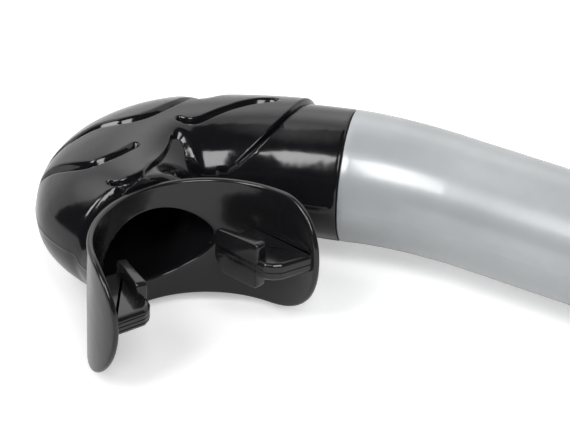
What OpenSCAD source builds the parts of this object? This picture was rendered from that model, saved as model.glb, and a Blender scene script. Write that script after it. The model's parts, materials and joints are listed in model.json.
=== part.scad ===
// Snorkel of the J type: a bent tube with a swivelling rubber mouthpiece and a strap keeper.
// Frame: +X runs up the straight barrel, +Z is square to the plane of the bends, and the
// origin is on the barrel's axis at the strap keeper. Millimetres and degrees.

/* [Barrel] */
// Outside diameter of the straight barrel
barrel_d = 25.4; // [24.4:0.2:26]
// Wall of the barrel and of the bend
barrel_wall = 2; // [1.5:0.1:2.5]
// Length of the straight barrel above the bend
barrel_len = 274; // [200:1:300]
// Length of the bend, which tightens evenly from the barrel to the foot
bend_len = 33.6; // [30:0.2:40]
// Angle that the tube turns through in the bend
bend_angle = 19.45; // [12:0.05:22]
// Outside diameter of the tube's flared foot, flush with the collar
foot_d = 26.8; // [26.6:0.1:28]
// Length of the flare, back from the foot
flare_len = 25; // [18:1:28]

/* [Spigot] */
// Outside diameter of the spigot that the collar grips
spigot_d = 21.2; // [20:0.1:21.6]
// Wall of the spigot
spigot_wall = 1.6; // [1.2:0.1:2]
// Reach of the spigot into the collar
spigot_len = 12; // [9:0.5:13]
// Height of the bead that keeps the collar on
bead_h = 0.5; // [0.3:0.1:0.6]
// Width of the bead along the spigot
bead_w = 2; // [1.5:0.1:2.5]

/* [High-visibility tip] */
// Length of the sleeve over the top of the barrel
tip_len = 32; // [30:1:40]
// Wall of the sleeve
tip_wall = 1.2; // [1:0.1:2]
// Thickness of the lip that sits on the end of the barrel
tip_lip = 1.6; // [1:0.1:2.5]

/* [Elbow] */
// Length of the straight collar
collar_len = 9.3; // [8:0.1:11]
// Radius of the slow curve after the collar
lead_r = 64; // [60:1:80]
// Angle of the slow curve
lead_angle = 18.5; // [14:0.1:22]
// Radius of the hook that turns back to the mouth
hook_r = 16.5; // [16.2:0.1:19]
// Angle of the hook
hook_angle = 117.3; // [112:0.1:122]
// Straight neck between the hook and the flange
neck_len = 3.45; // [3:0.05:6]
// Distance of the waist from the rim, where the elbow is lowest
waist_at = 31; // [28:1:34]
// Half height of the elbow at the waist
waist_h = 12.8; // [12.4:0.1:13.4]
// Distance of the bulb from the rim
bulb_at = 58; // [55:1:60]
// Half height of the bulb at the outside of the hook
bulb_h = 13.3; // [12.8:0.1:14]
// Reach of the elbow from its path, on the outside of the hook
outer_w = 17.7; // [17:0.1:18.2]
// Reach of the elbow from its path, on the inside of the hook
inner_w = 13.8; // [13.4:0.1:14.4]
// Half width of the neck where it meets the flange
neck_w = 15; // [14.6:0.1:15.6]
// Half height of the neck
neck_h = 10.8; // [10.4:0.1:11.4]
// Drop of the neck's centre below the parting plane
neck_drop = 1.8; // [1:0.1:2.5]
// Wall of the elbow under its lowest relief
elbow_wall = 2; // [1.8:0.1:2.4]

/* [Relief on the elbow] */
// Depth of the low ground between the raised panels
ground_depth = 1.1; // [0.6:0.1:1.2]
// Depth of the grooves
groove_depth = 1.3; // [0.6:0.1:1.4]
// Width over which the edge of a panel falls away
edge_soft = 1.4; // [1:0.1:2]

/* [Mouth flange] */
// Radius of the arch, to the middle of its wall
arch_r = 22.55; // [21:0.05:25]
// Wall of the flange
flange_wall = 1.3; // [1.1:0.1:2]
// Length of each arm, along the arch from its middle
arm_len = 38.7; // [36:0.1:42]
// Height of the flange above the parting plane
flange_top = 11.3; // [11:0.1:13]
// Depth of the flange below the parting plane
flange_bottom = 14.6; // [14:0.1:16]
// Rounding of the upper corner of an arm
corner_top = 10.8; // [9:0.1:14]
// Rounding of the lower corner of an arm
corner_bottom = 13; // [11:0.1:16]
// Width of the airway where it opens in the flange
airway_w = 26.4; // [24:0.2:27]
// Height of the airway
airway_h = 16.2; // [15:0.1:17]
// Drop of the airway's centre below the parting plane
airway_drop = 1.35; // [1:0.05:2.5]
// How pointed the airway ends on the side of the right arm, 1 for an ellipse
airway_point = 1.25; // [1:0.05:1.4]

/* [Bite tabs] */
// Thickness of the plate between the teeth
bite_t = 3.8; // [3:0.1:4.5]
// Height of the lug above the parting plane, at its back
lug_back = 4.4; // [3.5:0.1:6]
// Height of the lug above the parting plane, at its front
lug_front = 5.3; // [4.5:0.1:6.5]
// Depth of the lug below the parting plane
lug_drop = 4.8; // [4:0.1:6]
// How far the lower half of the lug starts in front of its upper half
lug_step = 1.9; // [1:0.1:3]
// Thickness of the lug behind the teeth
lug_t = 2; // [1.5:0.1:2.5]
// Distance from the arch's middle to the back of the tab
tab_back = 10.05; // [9.5:0.05:12]
// Distance from the arch's middle to the front of the lug
tab_front = 21.05; // [20:0.05:22]
// How far the plate's rounded rim reaches past the lug
rim_reach = 3.8; // [3:0.1:5]
// Gap from the mouth's centre line to the lug of the right tab, at its back
right_back = 9; // [8:0.1:11]
// Gap to the lug of the right tab, at its front
right_front = 11.7; // [10:0.1:13]
// Gap to the lug of the left tab, at its back
left_back = 11.2; // [10:0.1:13]
// Gap to the lug of the left tab, at its front
left_front = 12.9; // [11:0.1:14]

/* [Strap keeper] */
// Distance of the keeper from the end of the bend
keeper_at = 90; // [70:1:110]
// Length of the sleeve that slides on the barrel
sleeve_len = 18; // [16:1:24]
// Wall of the sleeve
sleeve_wall = 1.5; // [1.2:0.1:2]
// Width of the sleeve's end flanges
sleeve_flange_w = 2; // [1.5:0.1:3]
// Height of the sleeve's end flanges
sleeve_flange_h = 1.6; // [1.2:0.1:2]
// Wall of the ring that turns on the sleeve
ring_wall = 2.2; // [1.8:0.1:3]
// Height of the clip, across the strap
clip_h = 16; // [14:0.5:20]
// Width of strap that the clip holds
strap_w = 24; // [20:1:30]
// Thickness of the strap's slot
strap_gap = 5; // [4.4:0.1:6]
// Thickness of the clip's base plate
base_t = 3; // [2.5:0.1:4]
// Thickness of the gate
gate_t = 2.6; // [2:0.1:3.2]
// Thickness of the post that the gate closes on
post_t = 5; // [4:0.1:6]
// Diameter of the hinge pin
pin_d = 2.4; // [2:0.1:3]
// Wall of the knuckle around the hinge pin
knuckle_wall = 1.6; // [1.4:0.1:2]
// Thickness of each hinge ear
ear_t = 3; // [2.5:0.1:4]

/* [Fits] */
// Radial clearance of pieces that turn or slide on each other
running_gap = 0.05; // [0.02:0.01:0.1]
// End play between faces that turn past each other
end_gap = 0.2; // [0.1:0.05:0.4]
// Clearance of the gate's tongue in its pocket
tongue_gap = 0.4; // [0.3:0.05:0.5]

/* [Hidden] */

$fn = 96;
overlap = 0.5;        // how far a cutting shape runs past the face it opens
facet_inset = 0.03;   // keeps a faceted skin inside the true cylinder it joins

barrel_r = barrel_d / 2;
bore_r = barrel_r - barrel_wall;
foot_r = foot_d / 2;
spigot_r = spigot_d / 2;
spigot_bore_r = spigot_r - spigot_wall;
barrel_start = -keeper_at;
barrel_end = barrel_start + barrel_len;
bead_at = spigot_len / 2;

tube_facets = 40;
bend_rings = 10;
elbow_facets = 64;
elbow_rings = 78;
airway_rings = 20;

// The elbow's path, measured from the collar's rim
lead_len = lead_r * lead_angle * PI / 180;
hook_len = hook_r * hook_angle * PI / 180;
hook_at = collar_len + lead_len;
neck_at = hook_at + hook_len;
elbow_len = neck_at + neck_len;
mouth_heading = lead_angle + hook_angle;

arch_inner_r = arch_r - flange_wall / 2;
arch_outer_r = arch_r + flange_wall / 2;

sleeve_r = barrel_r + running_gap + sleeve_wall;
ring_bore_r = sleeve_r + running_gap;
ring_r = ring_bore_r + ring_wall;
ring_len = sleeve_len - 2 * sleeve_flange_w - 2 * end_gap;

// The clip stands on the side of the barrel that faces the head, -Y
knuckle_r = pin_d / 2 + knuckle_wall;
base_y = -ring_r - base_t / 2;
slot_y = -ring_r - base_t;
gate_y = slot_y - strap_gap;
hinge_x = -strap_w / 2 - knuckle_r;
hinge_y = gate_y - gate_t / 2;
post_x = strap_w / 2;
clip_end_x = post_x + post_t;
tongue_len = strap_gap / 2;
tongue_t = post_t / 2;

// ---- small maths ----

function clamped(t) = max(0, min(1, t));
function mix(a, b, t) = a + (b - a) * t;
function smooth(t) = let (c = clamped(t)) c * c * (3 - 2 * c);

// Value at s on a list of [station, value] knots, eased from each knot to the next
function eased(s, knots, i = 0) =
    s <= knots[i + 1][0] || i + 2 == len(knots)
        ? mix(knots[i][1], knots[i + 1][1],
              smooth((s - knots[i][0]) / (knots[i + 1][0] - knots[i][0])))
        : eased(s, knots, i + 1);

// Point reached from p after an arc of radius r turning left from heading h by angle a
function arc_end(p, h, r, a) = p + r * [sin(h + a) - sin(h), cos(h) - cos(h + a)];

// ---- the elbow's centreline: collar, slow curve, hook, neck ----

lead_from = [collar_len, 0];
hook_from = arc_end(lead_from, 0, lead_r, lead_angle);
neck_from = arc_end(hook_from, lead_angle, hook_r, hook_angle);
mouth_point = neck_from + neck_len * [cos(mouth_heading), sin(mouth_heading)];

function elbow_heading(s) =
    lead_angle * clamped((s - collar_len) / lead_len)
    + hook_angle * clamped((s - hook_at) / hook_len);

function elbow_point(s) =
    s < collar_len ? [s, 0]
    : s < hook_at ? arc_end(lead_from, 0, lead_r, elbow_heading(s))
    : s < neck_at ? arc_end(hook_from, lead_angle, hook_r, elbow_heading(s) - lead_angle)
    : neck_from + (s - neck_at) * [cos(mouth_heading), sin(mouth_heading)];

// ---- lofts ----

// Ring of points [across, up] on the section at a point of a path with a heading
function ring_at(point, heading, offsets) = [
    for (o = offsets) [point[0] - o[0] * sin(heading), point[1] + o[0] * cos(heading), o[1]]
];

function circle_points(r, facets) = [
    for (k = [0:facets - 1]) r * [cos(360 * k / facets), sin(360 * k / facets)]
];

// Two triangles on each cell of a skin between ring rows; flip turns it inside out
function skin(rows, facets, first, flip = false) = [
    for (i = [0:rows - 2], k = [0:facets - 1])
        let (
            a = first + i * facets + k,
            b = first + i * facets + (k + 1) % facets,
            c = a + facets,
            d = b + facets
        )
        each flip ? [[a, b, c], [b, d, c]] : [[a, c, b], [b, c, d]]
];

// Closed solid through a list of rings
module loft(rings) {
    facets = len(rings[0]);
    last = (len(rings) - 1) * facets;
    polyhedron(
        points = [for (ring = rings) each ring],
        faces = concat(
            skin(len(rings), facets, 0),
            [[for (k = [0:facets - 1]) k]],
            [[for (k = [facets - 1:-1:0]) last + k]]
        )
    );
}

// Pipe between an outer and an inner list of rings, closed at both ends
module pipe(outer, inner) {
    facets = len(outer[0]);
    inside = len(outer) * facets;
    outer_end = inside - facets;
    inner_end = inside + (len(inner) - 1) * facets;
    polyhedron(
        points = concat([for (ring = outer) each ring], [for (ring = inner) each ring]),
        faces = concat(
            skin(len(outer), facets, 0),
            skin(len(inner), facets, inside, flip = true),
            [for (k = [0:facets - 1]) let (n = (k + 1) % facets)
                each [[k, n, inside + k], [n, inside + n, inside + k]]],
            [for (k = [0:facets - 1]) let (n = (k + 1) % facets)
                each [[outer_end + k, inner_end + k, outer_end + n],
                      [outer_end + n, inner_end + k, inner_end + n]]]
        )
    );
}

// ---- places ----

// Frame at the centre of the collar's rim, +X running into the mouthpiece
module at_rim() {
    translate(bend_point(bend_len)) rotate(180 + bend_angle) children();
}

// Frame at the middle of the arch, +X running into the mouth
module at_mouth() {
    at_rim() translate(mouth_point) rotate(mouth_heading) children();
}

// Cylinder along X from x = from to x = to
module rod(r, from, to) {
    translate([from, 0, 0]) rotate([0, 90, 0]) cylinder(r = r, h = to - from);
}

// ---- tube ----

// Heading and point of the bend, t back from the barrel; its curvature grows evenly with t
function bend_heading(t) = bend_angle * pow(t / bend_len, 2);
function bend_point(t) =
    let (a = bend_heading(t) * PI / 180)
    [barrel_start - t * (1 - pow(a, 2) / 10 + pow(a, 4) / 216),
     -t * (a / 3 - pow(a, 3) / 42)];

// Radii of the bend outside and inside
function flare_r(t) = mix(foot_r, barrel_r, clamped((bend_len - t) / flare_len));
function bend_bore_r(t) =
    mix(spigot_bore_r, flare_r(t) - barrel_wall, smooth((bend_len - t - 1.5) / 8));

// Skin of the bend through a list of radii, from the foot to the barrel
module bend_loft(radii) {
    steps = len(radii) - 1;
    loft([
        for (i = [0:steps])
            let (t = bend_len * (1 - i / steps))
            ring_at(bend_point(t), bend_heading(t),
                    circle_points(radii[i] - facet_inset, tube_facets))
    ]);
}

module barrel_tube() {
    stations = [for (i = [0:bend_rings]) bend_len * (1 - i / bend_rings)];
    color("silver") difference() {
        union() {
            rod(barrel_r, barrel_start, barrel_end);
            bend_loft([for (t = stations) flare_r(t)]);
            at_rim() rod(spigot_r, -overlap, spigot_len);
            at_rim() rod(spigot_r + bead_h, bead_at - bead_w / 2, bead_at + bead_w / 2);
        }
        rod(bore_r, barrel_start, barrel_end + overlap);
        bend_loft([for (t = stations) bend_bore_r(t)]);
        at_rim() rod(spigot_bore_r, -2 * overlap, spigot_len + overlap);
    }
}

module tip_band() {
    sleeve_bore_r = barrel_r + facet_inset;
    lip_bore_r = bore_r + barrel_wall / 4;
    color("orangered") difference() {
        rod(sleeve_bore_r + tip_wall, barrel_end - tip_len, barrel_end + tip_lip);
        rod(sleeve_bore_r, barrel_end - tip_len - overlap, barrel_end);
        rod(lip_bore_r, barrel_end - overlap, barrel_end + tip_lip + overlap);
    }
}

// ---- mouthpiece: one soft moulding, in four solids that meet face to face ----

cut_len = elbow_len + 8;  // the loft runs on past the flange, and the arch trims it
panel_r = foot_r + ground_depth;
skin_wall = elbow_wall + groove_depth;

// Reach and height of the raised panels, and of the airway, at stations along the path
outer_knots = [[0, panel_r], [waist_at, outer_w], [bulb_at, outer_w], [elbow_len, neck_w]];
inner_knots = [[0, panel_r], [waist_at, inner_w], [bulb_at, inner_w], [elbow_len, neck_w]];
height_knots = [[0, panel_r], [waist_at, waist_h], [bulb_at, bulb_h], [elbow_len, neck_h]];
lift_knots = [[0, 0], [bulb_at, 0], [elbow_len, -neck_drop]];

airway_outer_knots = [[spigot_len, spigot_bore_r], [waist_at, outer_w - skin_wall],
                      [bulb_at, outer_w - skin_wall], [elbow_len, airway_w / 2]];
airway_inner_knots = [[spigot_len, spigot_bore_r], [waist_at, inner_w - skin_wall],
                      [bulb_at, inner_w - skin_wall], [elbow_len, airway_w / 2]];
airway_height_knots = [[spigot_len, spigot_bore_r], [waist_at, waist_h - skin_wall],
                       [bulb_at, bulb_h - skin_wall], [elbow_len, airway_h / 2]];
airway_lift_knots = [[0, 0], [bulb_at, 0], [elbow_len, -airway_drop]];
airway_point_knots = [[bulb_at, 1], [elbow_len, airway_point]];

// Reach of the panels on one side of the path: the inside of the hook is at side > 0
function panel_reach(s, side) = eased(s, side > 0 ? inner_knots : outer_knots);

// Plan point at s along the path, at a share of the reach to one side of it
function on_plan(s, share) =
    let (p = elbow_point(s), h = elbow_heading(s), u = share * panel_reach(s, share))
    [p[0] - u * sin(h), p[1] + u * cos(h)];

// A groove, as [share of the elbow's length, share of its reach, half width in mm] knots
function groove_line(knots) = [
    for (k = knots) let (p = on_plan(k[0] * elbow_len, k[1])) [p[0], p[1], k[2]]
];

grooves = [
    // channel from the outside of the hook, between the two tall panels
    groove_line([[0.77, -0.92, 0.6], [0.72, -0.64, 1.5], [0.67, -0.30, 2], [0.61, -0.11, 1.8],
                 [0.54, -0.15, 1.2], [0.47, -0.36, 0.7], [0.39, -0.80, 0.6]]),
    // flame's upper edge
    groove_line([[0.78, -0.95, 0.9], [0.81, -0.78, 1], [0.85, -0.48, 1], [0.85, -0.28, 0.9],
                 [0.80, 0.03, 0.8], [0.77, 0.17, 0.6]]),
    // root of the neck
    groove_line([[0.89, 0.35, 0.6], [0.93, 0.15, 0.8], [0.94, -0.07, 0.9], [0.93, -0.28, 0.9]]),
    groove_line([[0.926, 0.42, 0.8], [0.932, 0.73, 0.7]]),
    // wave along the waist
    groove_line([[0.54, 0.10, 0.9], [0.51, 0.25, 0.9], [0.46, 0.24, 1], [0.41, 0.09, 1],
                 [0.32, -0.15, 0.9], [0.23, -0.27, 0.8]])
];

// Low ground between the panels, from the inside of the hook to the collar
valley = groove_line([[0.88, 0.75, 2.4], [0.72, 0.72, 2.2], [0.60, 0.60, 2], [0.50, 0.40, 1.6],
                      [0.37, 0.10, 1.2], [0.24, -0.16, 0.5]]);

// Edge of the collar, as a share of the elbow's length for a share of its reach
collar_edge_knots = [[-1, 0.118], [0, 0.164], [0.5, 0.24], [1, 0.4]];

// Distance from a plan point to the side of a groove, negative inside it
function beside(p, line) = min([
    for (i = [0:len(line) - 2])
        let (
            a = [line[i][0], line[i][1]],
            d = [line[i + 1][0], line[i + 1][1]] - a,
            t = clamped((p - a) * d / (d * d))
        )
        norm(p - a - t * d) - mix(line[i][2], line[i + 1][2], t)
]);

// Depth of the relief below the raised panels; the same on the back and the underside
function relief(s, share) =
    let (
        p = on_plan(s, share),
        past_collar = s - elbow_len * eased(share, collar_edge_knots),
        ground = max(
            smooth(0.5 - past_collar / edge_soft),
            smooth(0.5 - beside(p, valley) / edge_soft),
            smooth((s / elbow_len - 0.925) / 0.03) * smooth((share + 0.35) / 0.3)
        ),
        cut = max([for (line = grooves) smooth(0.5 - beside(p, line) / edge_soft)])
    )
    max(ground_depth * ground, groove_depth * cut);

// Section of the panels at s, sunk by the relief square to its ellipse
function panel_section(s) =
    let (height = eased(s, height_knots), lift = eased(s, lift_knots))
    [
        for (k = [0:elbow_facets - 1])
            let (
                a = 360 * k / elbow_facets,
                reach = panel_reach(s, cos(a)),
                square = [cos(a) / reach, sin(a) / height],
                sunk = relief(s, cos(a)) * square / norm(square)
            )
            [reach * cos(a), lift + height * sin(a)] - sunk
    ];

// Sine of a that rises later on the side of the right arm, for an egg in place of an ellipse
function egg(a, point) = sign(sin(a)) * pow(abs(sin(a)), cos(a) > 0 ? point : 1);

function airway_section(s) = [
    for (k = [0:elbow_facets - 1])
        let (a = 360 * k / elbow_facets, point = eased(s, airway_point_knots))
        [eased(s, cos(a) > 0 ? airway_inner_knots : airway_outer_knots) * cos(a),
         eased(s, airway_lift_knots) + eased(s, airway_height_knots) * egg(a, point)]
];

module elbow_body() {
    function station(i, rings) = end_gap + (cut_len - end_gap) * i / rings;
    color([0.06, 0.06, 0.065]) at_rim() difference() {
        pipe(
            [for (i = [0:elbow_rings]) let (s = station(i, elbow_rings))
                ring_at(elbow_point(s), elbow_heading(s), panel_section(s))],
            [for (i = [0:airway_rings]) let (s = station(i, airway_rings))
                ring_at(elbow_point(s), elbow_heading(s), airway_section(s))]
        );
        rod(spigot_r + running_gap, -overlap, spigot_len + end_gap);
        rod(spigot_r + bead_h + running_gap, bead_at - bead_w / 2 - end_gap,
            bead_at + bead_w / 2 + end_gap);
        translate(mouth_point) rotate(mouth_heading) arch_cylinder(arch_outer_r);
    }
}

// Upright cylinder about the arch's centre
module arch_cylinder(r) {
    translate([arch_r, 0, -2 * flange_bottom]) cylinder(r = r, h = 4 * flange_bottom);
}

// Distance into the mouth of a point that lies l along the arch from its middle
function arm_depth(l) = arch_r * (1 - cos(l / arch_r * 180 / PI));

// Height left at l along an arm whose corner is rounded over its last r
function arm_height(l, h, r) = h * sqrt(1 - pow(clamped((l - arm_len + r) / r), 2));

// Side outline of the arms, with rounded corners
module arm_outline() {
    steps = 14;
    back = -2 * flange_wall;
    // the rounding's steps are even in angle, so its steep end stays smooth
    function along(r, i) = arm_len - r + r * sin(90 * i / steps);
    polygon(concat(
        [[back, flange_top]],
        [for (i = [0:steps]) let (l = along(corner_top, i))
            [arm_depth(l), arm_height(l, flange_top, corner_top)]],
        [for (i = [steps - 1:-1:0]) let (l = along(corner_bottom, i))
            [arm_depth(l), -arm_height(l, flange_bottom, corner_bottom)]],
        [[back, -flange_bottom]]
    ));
}

// The airway's outline where it meets the arch
module airway_outline() {
    steps = 48;
    polygon([for (i = [0:steps - 1]) let (a = 360 * i / steps)
        [airway_w / 2 * cos(a), airway_h / 2 * egg(a, airway_point) - airway_drop]]);
}

module mouth_flange() {
    color([0.09, 0.09, 0.095]) at_mouth() difference() {
        intersection() {
            difference() {
                arch_cylinder(arch_outer_r);
                arch_cylinder(arch_inner_r);
            }
            rotate([90, 0, 0]) linear_extrude(4 * arch_r, center = true) arm_outline();
        }
        rotate([90, 0, 90]) linear_extrude(arch_r, center = true) airway_outline();
    }
}

// Plate and lugs on the arm at +Y, with the lug's inner face through (back, gap_back)
// and (front, gap_front)
module bite_tab(gap_back, gap_front) {
    lean = atan2(gap_front - gap_back, tab_front - tab_back);
    lug_len = (tab_front - tab_back) / cos(lean);
    rim_steps = 10;
    plate_w = arch_r;  // runs through the arm, which trims it
    intersection() {
        arch_cylinder(arch_inner_r);
        union() {
            translate([0, 0, -bite_t / 2]) linear_extrude(bite_t) polygon(concat(
                [[tab_back, gap_back]],
                [for (i = [0:rim_steps]) let (a = 90 * i / rim_steps)
                    [tab_front + rim_reach * sin(a),
                     mix(gap_front, arch_r * 0.75, 1 - cos(a))]],
                [[tab_front + rim_reach, plate_w], [tab_back, plate_w]]
            ));
            translate([tab_back, gap_back, 0]) rotate([90, 0, lean]) mirror([0, 0, 1])
                linear_extrude(lug_t) polygon([
                    [0, lug_back], [0, -bite_t / 2], [lug_step, -lug_drop],
                    [lug_len, -lug_drop], [lug_len, lug_front]
                ]);
        }
    }
}

module bite_tab_right() {
    color([0.07, 0.07, 0.075]) at_mouth() bite_tab(right_back, right_front);
}

module bite_tab_left() {
    color([0.07, 0.07, 0.075]) at_mouth() mirror([0, 1, 0]) bite_tab(left_back, left_front);
}

// ---- strap keeper ----

module keeper_sleeve() {
    half = sleeve_len / 2;
    color([0.1, 0.1, 0.11]) difference() {
        union() {
            rod(sleeve_r, -half, half);
            for (side = [-1, 1])
                rod(sleeve_r + sleeve_flange_h,
                    side * (half - sleeve_flange_w / 2) - sleeve_flange_w / 2,
                    side * (half - sleeve_flange_w / 2) + sleeve_flange_w / 2);
        }
        rod(barrel_r + running_gap, -half - overlap, half + overlap);
    }
}

// Upright block between two corners in plan, clip_h high less trim at each end
module upright(from, to, trim = 0) {
    translate([from[0], from[1], -clip_h / 2 + trim])
        cube([to[0] - from[0], to[1] - from[1], clip_h - 2 * trim]);
}

module keeper_ring() {
    ear_x = hinge_x - knuckle_r;
    color([0.1, 0.1, 0.11]) difference() {
        union() {
            rod(ring_r, -ring_len / 2, ring_len / 2);
            // saddle that carries the base plate on the ring
            upright([-ring_len / 2, slot_y], [ring_len / 2, 0]);
            upright([ear_x, slot_y], [clip_end_x, slot_y + base_t]);
            upright([post_x, gate_y], [clip_end_x, slot_y + overlap]);
            for (side = [-1, 1]) translate([0, 0, side * (clip_h - ear_t) / 2]) ear();
        }
        rod(ring_bore_r, -ring_len, ring_len);
        // pocket for the gate's tongue
        translate([post_x + post_t / 2 - tongue_t / 2 - tongue_gap, gate_y - overlap,
                   -clip_h / 4 - tongue_gap])
            cube([tongue_t + 2 * tongue_gap, tongue_len + tongue_gap + overlap,
                  clip_h / 2 + 2 * tongue_gap]);
        translate([hinge_x, hinge_y, -clip_h]) cylinder(d = pin_d, h = 2 * clip_h);
    }
}

// One hinge ear, from the base plate out and around the pin
module ear() {
    translate([0, 0, -ear_t / 2]) linear_extrude(ear_t) union() {
        translate([hinge_x, hinge_y]) circle(r = knuckle_r);
        translate([hinge_x - knuckle_r, hinge_y])
            square([2 * knuckle_r, slot_y + base_t - hinge_y]);
    }
}

module clip_gate() {
    gate_h = clip_h - 2 * ear_t - 2 * end_gap;
    tongue_h = clip_h / 2;
    color([0.12, 0.12, 0.13]) difference() {
        union() {
            translate([hinge_x, hinge_y, -gate_h / 2]) cylinder(r = knuckle_r, h = gate_h);
            translate([hinge_x, gate_y - gate_t, -gate_h / 2])
                cube([clip_end_x - hinge_x, gate_t - end_gap, gate_h]);
            translate([post_x + post_t / 2 - tongue_t / 2, gate_y - gate_t / 2, -tongue_h / 2])
                cube([tongue_t, gate_t / 2 + tongue_len, tongue_h]);
        }
        translate([hinge_x, hinge_y, -clip_h]) cylinder(r = pin_d / 2 + running_gap, h = 2 * clip_h);
    }
}

module clip_pin() {
    color("gainsboro") translate([hinge_x, hinge_y, -clip_h / 2]) cylinder(d = pin_d, h = clip_h);
}

barrel_tube();
tip_band();
elbow_body();
mouth_flange();
bite_tab_right();
bite_tab_left();
keeper_sleeve();
keeper_ring();
clip_gate();
clip_pin();
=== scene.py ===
# %% [markdown]
# # A snorkel of the J type
#
# The object is a bent tube with a soft rubber mouthpiece at its foot, a bright sleeve at its
# open end and a keeper that ties it to a mask strap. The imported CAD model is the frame: it says
# where every piece sits and how it moves. This lesson dresses it, piece by piece, in Blender.
#
# Lengths are written in millimetres and multiplied by `mm`, because Blender works in metres.

# %% Load the frame
import json
import math

import bmesh
import bpy
import numpy as np
from mathutils import Matrix, Vector


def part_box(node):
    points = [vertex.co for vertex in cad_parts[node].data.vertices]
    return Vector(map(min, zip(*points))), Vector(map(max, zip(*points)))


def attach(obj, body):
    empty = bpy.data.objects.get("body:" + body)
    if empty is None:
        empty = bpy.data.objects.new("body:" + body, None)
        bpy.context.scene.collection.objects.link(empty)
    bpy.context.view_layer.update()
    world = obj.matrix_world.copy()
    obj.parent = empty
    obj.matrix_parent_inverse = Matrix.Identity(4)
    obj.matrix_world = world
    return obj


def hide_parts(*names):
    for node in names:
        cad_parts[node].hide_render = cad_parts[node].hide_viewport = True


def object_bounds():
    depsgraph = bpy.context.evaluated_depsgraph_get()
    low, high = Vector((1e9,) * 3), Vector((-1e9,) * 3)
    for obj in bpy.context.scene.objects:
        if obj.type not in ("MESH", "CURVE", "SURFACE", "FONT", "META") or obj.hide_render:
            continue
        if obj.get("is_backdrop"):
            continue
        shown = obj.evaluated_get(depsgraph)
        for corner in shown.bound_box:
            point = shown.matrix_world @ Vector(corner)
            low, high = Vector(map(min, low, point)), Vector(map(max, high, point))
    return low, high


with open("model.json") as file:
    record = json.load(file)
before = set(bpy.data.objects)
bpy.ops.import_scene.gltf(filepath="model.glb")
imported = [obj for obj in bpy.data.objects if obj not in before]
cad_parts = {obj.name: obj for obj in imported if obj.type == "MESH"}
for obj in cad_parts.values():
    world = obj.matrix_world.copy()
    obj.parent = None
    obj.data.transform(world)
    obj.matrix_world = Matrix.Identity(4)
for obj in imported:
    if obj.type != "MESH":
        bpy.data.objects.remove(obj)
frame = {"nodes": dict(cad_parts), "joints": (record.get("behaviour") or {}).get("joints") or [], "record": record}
cad_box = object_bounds()
mm = 0.001

joints = {joint["name"]: joint for joint in frame["joints"]}
mounts = {mount["name"]: mount for mount in frame["record"]["mounts"]}
print("nodes:", ", ".join(sorted(frame["nodes"])))

# %% [markdown]
# ## Places
#
# Two places carry the whole mouthpiece: the centre of the collar's rim, where the mouthpiece
# turns on the tube, and the middle of the mouth flange. The first comes from the swivel joint
# and the second from the mouth mount. Each becomes a matrix that takes a point written in that
# place's own frame, with X pointing into the mouthpiece or into the mouth, to the row frame.

# %% Rim and mouth frames
def place(origin, x_axis):
    """Matrix of the frame at origin whose X is x_axis and whose Z is the row's Z."""
    x = Vector(x_axis).normalized()
    y = Vector((0, 0, 1)).cross(x)
    turn = Matrix((x, y, (0, 0, 1))).transposed()
    return Matrix.Translation(Vector(origin)) @ turn.to_4x4()


swivel = joints["mouthpiece_swivel"]
at_rim = place(swivel["pos_m"], [-a for a in swivel["axis"]])
at_mouth = place(mounts["mouth"]["pos_m"], mounts["mouth"]["axis"])


def moved(matrix, points):
    """Points, in the last axis of an array, taken through a matrix."""
    m = np.array(matrix)
    return points @ m[:3, :3].T + m[:3, 3]


print("rim at", [round(v / mm, 2) for v in at_rim.translation], "mm")
print("mouth at", [round(v / mm, 2) for v in at_mouth.translation], "mm")

# %% [markdown]
# ## Helpers for meshes
#
# Most of this object is tubes, and a tube is rings of points laid one after another. A cylinder
# primitive without ends already is one: its upright edges are subdivided into as many rings as
# the shape needs, and each ring is then laid on its own section in code. Extruding and turning
# the rings one at a time gives the same mesh, but each would pick up the rounding of the one
# before, and the tube and the collar have to meet within a tenth of a millimetre.
#
# A shell that closes on itself, like a pipe with a wall, ends on the ring it began with, and
# the two are merged.

# %% Edit mode, coordinates and joining
def start_clean():
    """Nothing selected, and object mode, before a primitive is added."""
    if bpy.context.object and bpy.context.object.mode != "OBJECT":
        bpy.ops.object.mode_set(mode="OBJECT")
    bpy.ops.object.select_all(action="DESELECT")


def deselect(mesh):
    """Nothing selected in a mesh that is open in edit mode."""
    for element in list(mesh.verts) + list(mesh.edges) + list(mesh.faces):
        element.select = False


def merge_doubles(piece, distance=1e-6):
    bpy.ops.object.mode_set(mode="EDIT")
    bpy.ops.mesh.select_all(action="SELECT")
    bpy.ops.mesh.remove_doubles(threshold=distance)
    bpy.ops.mesh.normals_make_consistent(inside=False)
    bpy.ops.object.mode_set(mode="OBJECT")


def join_onto(piece, other):
    """Makes other a part of piece and merges the points that they share."""
    start_clean()
    other.select_set(True)
    piece.select_set(True)
    bpy.context.view_layer.objects.active = piece
    bpy.ops.object.join()
    merge_doubles(piece)


def coordinates(piece):
    co = np.empty(len(piece.data.vertices) * 3, np.float32)
    piece.data.vertices.foreach_get("co", co)
    return co.reshape(-1, 3)


def set_coordinates(piece, points):
    piece.data.vertices.foreach_set("co", points.astype(np.float32).ravel())


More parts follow.
